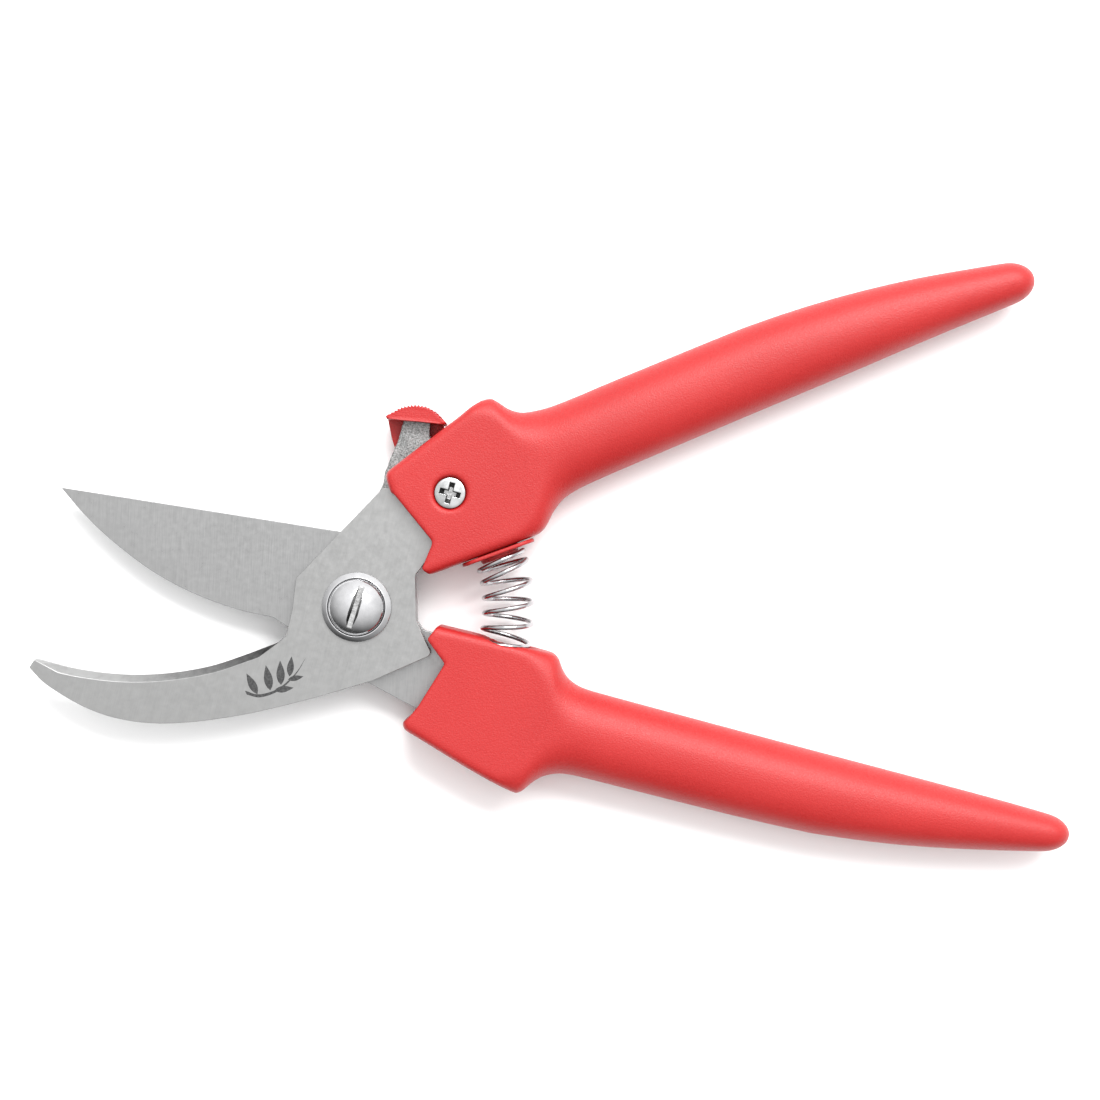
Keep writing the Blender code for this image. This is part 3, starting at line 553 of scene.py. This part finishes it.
def make_sprig():
    """A small etched sprig on the hook blade: a curved stem with pointed leaves."""
    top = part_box("hook_blade")[1].z / MM
    foot_z = top - 0.05
    stem = smooth_run([(-20.6, -16.4), (-18.0, -16.9), (-14.5, -15.6), (-11.4, -12.6), (-9.6, -9.6)], 6)
    back = []
    for i, (x, y) in enumerate(stem):
        width = 1 - i / len(stem)
        back.append((x - 0.35 * width, y + 0.75 * width))
    outline = stem + back[::-1]
    mark = prism("etched_sprig", [(foot_z, outline), (top + 0.010, outline)])
    leaves = [((-18.6, -16.3), 118, 4.4), ((-16.2, -15.6), 100, 4.8), ((-14.2, -14.6), 92, 4.6),
              ((-12.6, -13.0), 84, 3.8), ((-15.4, -15.6), 8, 3.6), ((-12.9, -13.6), 12, 3.0)]
    bm = bmesh.new()
    bm.from_mesh(mark.data)
    for foot, turn, length in leaves:
        side = [(length * i / 8, 0.17 * length * math.sin(math.pi * (i / 8) ** 0.8)) for i in range(9)]
        outline = side[::-1] + [(x, -y) for x, y in side[1:-1]]
        outline = turned_outline(outline, foot, turn)
        leaf = prism("leaf", [(foot_z, outline), (top + 0.012, outline)])
        bm.from_mesh(leaf.data)
        bpy.data.objects.remove(leaf, do_unlink=True)
    bm.to_mesh(mark.data)
    bm.free()
    return mark


dressed(make_hook(), hook_steel, "hook_side", "hook_blade", (bevel_painted_reflection_steel,))
dressed(make_sprig(), etching, "hook_side", "hook_blade")
dressed(bevelled(node_copy("cutter", "cutting_blade"), 0.08), cutter_steel, "cutter_side", "cutting_blade")


# ---------------------------------------------------------------- lock

def sheared(item, depth):
    """Push the side walls in and out a little, as on a stamping that was not cleaned up."""
    for vertex in item.data.vertices:
        if abs(vertex.normal.z) < 0.8:
            wobble = noise.noise(vertex.co * 900) + 0.5 * noise.noise(vertex.co * 2300)
            out = Vector((vertex.normal.x, vertex.normal.y, 0))
            vertex.co += out * (wobble - 0.6) * depth * MM
    return item


LEVER_VOXEL = 0.16
LEVER_WOBBLE = 0.14    # how far the lever's rough sides go in and out

lever = remeshed(node_copy("lever", "lock_lever"), LEVER_VOXEL, lambda place: np.full(len(place), 2.0))
dressed(sheared(lever, LEVER_WOBBLE), lever_steel, "lock", "lock_lever")


def serrated(points, pitch, depth):
    """The run of points with small rounded teeth pointing away from the middle of its ends."""
    run = [Vector(p) for p in points]
    inner = (run[0] + run[-1]) / 2
    made = []
    length = 0.0
    total = sum((b - a).length for a, b in zip(run, run[1:]))
    for a, b in zip(run, run[1:]):
        steps = max(1, round((b - a).length / (pitch / 6)))
        for i in range(steps):
            p = a.lerp(b, i / steps)
            fade = min(1.0, length / 1.2, (total - length) / 1.2)
            dent = depth * fade * abs(math.sin(math.pi * length / pitch))
            made.append(tuple(p - (p - inner).normalized() * dent))
            length += (b - a).length / steps
    made.append(tuple(run[-1]))
    return made


TOOTH_PITCH = 0.70     # of the thumb cap's grip teeth
TOOTH_DEPTH = 0.42
HEART = Vector((10.9, 35.6))   # the point towards which the cap's outline is drawn in


def make_cap():
    """Thumb cap: an arched pad with grip teeth and a raised rim, over a pointed rib behind the lever."""
    low, high = (corner.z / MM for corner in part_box("lock_thumb_cap"))
    lever_low, lever_high = (corner.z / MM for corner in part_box("lock_lever"))
    arch = smooth_run([(16.7, 34.6), (16.0, 35.5), (14.9, 36.6), (13.1, 37.6), (10.7, 38.0), (8.2, 37.5),
                       (6.4, 36.5), (5.4, 35.8)], 6)
    foot = [(5.6, 35.3), (8.4, 35.0), (12.0, 34.7), (16.4, 34.2)]
    outer = serrated(arch, TOOTH_PITCH, TOOTH_DEPTH) + foot

    def drawn_in(share):
        return [tuple(HEART + (Vector(p) - HEART) * share) for p in outer]

    levels = [(low, drawn_in(0.97)), (low + 0.3, outer), (high - 0.35, outer),
              (high - 0.1, drawn_in(0.975)),
              (high, drawn_in(0.93)), (high - 0.03, drawn_in(0.84)), (high - 0.07, drawn_in(0.74))]
    cap = prism("thumb_cap", levels)
    rib_outline = [(15.9, 34.9), (14.9, 36.1), (7.0, 36.3), (6.0, 35.9), (5.45, 35.55), (6.2, 31.8),
                   (6.8, 30.0), (8.2, 31.4), (14.0, 32.2), (16.1, 33.8)]
    rib = bevelled(prism("rib", [(low, rib_outline), (lever_low - 0.3, rib_outline)]), 0.15)
    cut(cap, rib, "UNION")
    pocket = [(7.8, 30), (14.1, 30), (14.1, 36.5), (8.3, 36.5)]
    cut(cap, prism("pocket", [(lever_low - 0.3, pocket), (lever_high + 0.3, pocket)]))
    cap.data.shade_smooth()
    cap.data.set_sharp_from_angle(angle=math.radians(40))
    return cap


dressed(make_cap(), handle_plastic, "lock", "lock_thumb_cap")

CROSS_TURN = -15.0     # degrees from +X to one arm of the screw's cross
CROSS_DEPTH = 1.5


def make_screw():
    """Countersunk cross-head screw with a slightly domed head and a tapered cross."""
    low, high = (corner.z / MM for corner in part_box("lock_screw"))
    radius = (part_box("lock_screw")[1].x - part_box("lock_screw")[0].x) / 2 / MM
    dome = [(radius * 0.9 * i / 8, high - 0.18 * (i / 8) ** 2, 0) for i in range(9)]
    rim = [(radius, high - 0.32, 0.1), (1.5, high - 1.85, 0.2), (1.5, low + 0.35, 0.1), (1.2, low, 0),
           (0, low, 0)]
    screw = lathe("cross_screw", rounded_profile(dome + rim), 64, lock_point)
    for turn in (CROSS_TURN, CROSS_TURN + 90):
        foot = turned_outline(bar(1.15, 0.36, 0.36), lock_point, turn)
        mouth = turned_outline(bar(2.0, 0.5, 0.5), lock_point, turn)
        cut(screw, prism("cross", [(high - CROSS_DEPTH, foot), (high - 0.1, mouth), (high + 1.0, mouth)]))
    bevelled(screw, 0.06)

    def inside(face):
        return math.hypot(face.center.x / MM - lock_point[0], face.center.y / MM - lock_point[1]) < 2.1

    foot_z = high - CROSS_DEPTH
    # the cross's walls get the painted shade and its floor the rough zinc
    repainted(screw, lambda face: foot_z - 0.1 < face.center.z / MM < high - 0.25 and inside(face), 1)
    return repainted(screw, lambda face: abs(face.center.z / MM - foot_z) < 0.03 and inside(face), 2)


dressed(make_screw(), screw_plate, "hook_side", "lock_screw",
        (cross_painted_shade, slot_floor))
dressed(bevelled(node_copy("lock_hex_nut", "lock_nut"), 0.12), screw_plate, "hook_side", "lock_nut")
dressed(bevelled(node_copy("lock_friction_washer", "lock_washer"), 0.05), wire_steel, "hook_side",
        "lock_washer")


# ---------------------------------------------------------------- pivot

SLOT_TURN = 72.6       # degrees from +X to the bolt's slot
DOME_RISE = 2.1        # of the bolt's head above its rim
SLOT_WIDE = 1.15       # half width of the slot's mouth at its wider end


def make_bolt():
    """Slotted dome bolt, its slot floor a rougher finish and its slot walls painted with a dark reflection
    towards the slot's lower end.
    """
    low, high = (corner.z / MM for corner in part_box("pivot_bolt"))
    radius = (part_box("pivot_bolt")[1].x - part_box("pivot_bolt")[0].x) / 2 / MM
    dome_r = (radius ** 2 + DOME_RISE ** 2) / (2 * DOME_RISE)
    reach = math.asin(radius / dome_r)
    dome = [(dome_r * math.sin(reach * i / 20), high - dome_r * (1 - math.cos(reach * i / 20)), 0)
            for i in range(21)]
    head_low = high - 2.6
    rest = [(radius, head_low, 0.15), (3.5, head_low, 0), (3.5, 3.1, 0.1), (3.0, 3.1, 0), (3.0, 0.5, 0.2),
            (2.5, low, 0), (0, low, 0)]
    bolt = lathe("dome_bolt", rounded_profile(dome + rest), 96)
    floor = high - 1.2
    levels = []
    for height, near, far in ((floor, 0.5, 0.4), (high - 0.2, SLOT_WIDE, 0.6), (high + 1, SLOT_WIDE, 0.6)):
        levels.append((height, turned_outline(bar(8, near, far), (0, 0), SLOT_TURN)))
    cut(bolt, prism("slot", levels))
    bevelled(bolt, 0.07)
    # the slot's walls get the painted dark reflection
    repainted(bolt, lambda face: face.center.z / MM > floor and abs(face.normal.z) < 0.5
              and abs(across_slot(face.center)) < SLOT_WIDE, 2)
    return repainted(bolt, lambda face: abs(face.center.z / MM - floor) < 0.05, 1)


def across_slot(point):
    """Distance of a point from the slot's middle line."""
    a = math.radians(SLOT_TURN)
    return (point.y * math.cos(a) - point.x * math.sin(a)) / MM


dressed(make_bolt(), chrome, "hook_side", "pivot_bolt", (slot_floor, slot_side_painted_reflection))


def make_front_washer():
    """The bright washer: a raised ridge round the bolt's head, sloping down to its outer edge."""
    low, high = (corner.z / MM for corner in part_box("pivot_washer"))
    radius = (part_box("pivot_washer")[1].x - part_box("pivot_washer")[0].x) / 2 / MM
    chain = [(3.8, 0.5 * (low + high), 0), (3.8, high - 0.35, 0.05), (radius - 1.25, high - 0.35, 0.03),
             (radius - 1.05, high, 0.06), (radius - 0.9, high, 0.1), (radius, high - 0.62, 0.12),
             (radius, low, 0.08), (3.8, low, 0.08), (3.8, 0.5 * (low + high), 0)]
    ring = lathe("bright_washer", rounded_profile(chain)[:-1], 96, closed=True)
    ring.data.shade_smooth()
    ring.data.set_sharp_from_angle(angle=math.radians(40))
    return ring


dressed(make_front_washer(), chrome, "hook_side", "pivot_washer")
dressed(bevelled(node_copy("back_washer", "pivot_back_washer"), 0.1), screw_plate, "hook_side",
        "pivot_back_washer")
dressed(bevelled(node_copy("hex_nut", "pivot_nut"), 0.15), screw_plate, "hook_side", "pivot_nut")
dressed(bevelled(node_copy("white_ring", "nut_locking_ring"), 0.08), ring_nylon, "hook_side",
        "nut_locking_ring")


# ---------------------------------------------------------------- spring

COIL_R = 4.6           # from the spring's axis to the middle of the wire
WIRE_R = 0.45
ACTIVE_TURNS = 6.0     # turns between the first, in the recess, and the last, on the seat
SEAT_PITCH = 1.9       # height of the turn that meets the seat
FLOOR_DEPTH = 7.65     # from the lower handle's radial line down to the wire in its recess
SEAT_DROP = 0.55       # from the upper handle's radial line down to the wire on its seat


def spring_path(steps_per_turn):
    """Points along the wire; its axis is straight in the recess, then an arc about the pivot."""
    pitch = 2 * WIRE_R + 0.15
    turns = ACTIVE_TURNS + 2
    low_angle = math.radians(LOWER_ANGLE)
    points = []
    for i in range(int(turns * steps_per_turn) + 1):
        turn = turns * i / int(turns * steps_per_turn)
        phase = 2 * math.pi * turn
        radius = ARC_R + COIL_R * math.cos(phase)
        drop = SEAT_DROP + SEAT_PITCH * min(turns - turn, 1)
        seat_angle = math.radians(UPPER_ANGLE - LOWER_ANGLE) - math.asin(drop / radius)
        low = pitch * min(turn, 1) - FLOOR_DEPTH
        part = min(max((turn - 1) / ACTIVE_TURNS, 0), 1)
        rise = low + (ARC_R * seat_angle - low) * part
        if rise < 0:
            x = radius * math.cos(low_angle) - rise * math.sin(low_angle)
            y = radius * math.sin(low_angle) + rise * math.cos(low_angle)
        else:
            angle = low_angle + rise / ARC_R
            x, y = radius * math.cos(angle), radius * math.sin(angle)
        points.append(Vector((x, y, pivot_z - COIL_R * math.sin(phase))))
    return points


def tube(name, path, radius, sides):
    """A closed tube along a path, its frame carried along without twist, its ends slightly rounded."""
    bm = bmesh.new()
    last = len(path) - 1
    tangent = (path[1] - path[0]).normalized()
    side = tangent.orthogonal().normalized()
    rings = []
    for i, point in enumerate(path):
        ahead = (path[min(i + 1, last)] - path[max(i - 1, 0)]).normalized()
        side = (side - ahead * side.dot(ahead)).normalized()
        up = ahead.cross(side)
        size = radius * (0.8 if i in (0, last) else 1.0)
        ring = []
        for j in range(sides):
            a = 2 * math.pi * j / sides
            ring.append(bm.verts.new((point + (side * math.cos(a) + up * math.sin(a)) * size) * MM))
        rings.append(ring)
    for a, b in zip(rings, rings[1:]):
        for i in range(sides):
            j = (i + 1) % sides
            bm.faces.new((a[i], a[j], b[j], b[i]))
    bm.faces.new(rings[0])
    bm.faces.new(rings[-1])
    return new_object(name, bm)


spring = tube("coil_spring", spring_path(40), WIRE_R, 14)
spring.data.shade_smooth()
spring.data.set_sharp_from_angle(angle=math.radians(50))
dressed(spring, wire_steel, None, "return_spring")
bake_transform(spring)


# ---------------------------------------------------------------- floor, light and camera

def make_floor():
    """A plain pale floor just under the shears."""
    look = Look("pale_floor", 0.6)
    look.color(look.mix(look.noise(look.place, 6, 3.0), (0.93, 0.93, 0.93), (0.95, 0.95, 0.95)))
    bm = bmesh.new()
    bmesh.ops.create_grid(bm, x_segments=1, y_segments=1, size=40.0)
    floor = new_object("floor", bm)
    floor.location = (0, 0, cad_box[0].z - 0.0002)
    floor.data.materials.append(look.material)


def area_light(name, at, toward, width, depth, power):
    """A rectangular light at a place, facing another place."""
    light = bpy.data.lights.new(name, "AREA")
    light.shape = "RECTANGLE"
    light.size = width
    light.size_y = depth
    light.energy = power
    lamp = bpy.data.objects.new(name, light)
    lamp.location = at
    lamp.rotation_mode = "QUATERNION"
    lamp.rotation_quaternion = (Vector(toward) - Vector(at)).to_track_quat("-Z", "Y")
    bpy.context.scene.collection.objects.link(lamp)


def make_world(dark, bright):
    """A soft studio: bright overhead and behind the shears, darker towards the viewer's side."""
    world = bpy.data.worlds.new("studio")
    world.use_nodes = True
    tree = world.node_tree
    sky = tree.nodes["Background"]
    sky.inputs["Color"].default_value = (1, 1, 1, 1)
    direction = tree.nodes.new("ShaderNodeTexCoord").outputs["Generated"]
    toward = tree.nodes.new("ShaderNodeVectorMath")
    toward.operation = "DOT_PRODUCT"
    toward.inputs[1].default_value = (0.20, 0.60, 0.77)
    tree.links.new(direction, toward.inputs[0])
    level = tree.nodes.new("ShaderNodeMapRange")
    for name, number in (("From Min", -0.45), ("From Max", 0.9),
                         ("To Min", dark), ("To Max", bright)):
        level.inputs[name].default_value = number
    tree.links.new(toward.outputs["Value"], level.inputs["Value"])
    tree.links.new(level.outputs["Result"], sky.inputs["Strength"])
    bpy.context.scene.world = world


def make_camera():
    """The camera, looking straight down at the shears."""
    lens = bpy.data.cameras.new("camera")
    lens.sensor_width = 36.0
    lens.lens = 69.4
    lens.clip_start = 0.01
    camera = bpy.data.objects.new("camera", lens)
    camera.location = (0.0362, 0.0107, 0.40675)
    bpy.context.scene.collection.objects.link(camera)
    bpy.context.scene.camera = camera


middle = (0.035, 0.0, 0.0)
make_floor()
make_world(dark=0.096, bright=1.68)
area_light("key", at=(0.30, 0.66, 0.95), toward=middle, width=1.0, depth=0.45, power=16.8)
make_camera()
bpy.context.scene.view_settings.view_transform = "Standard"
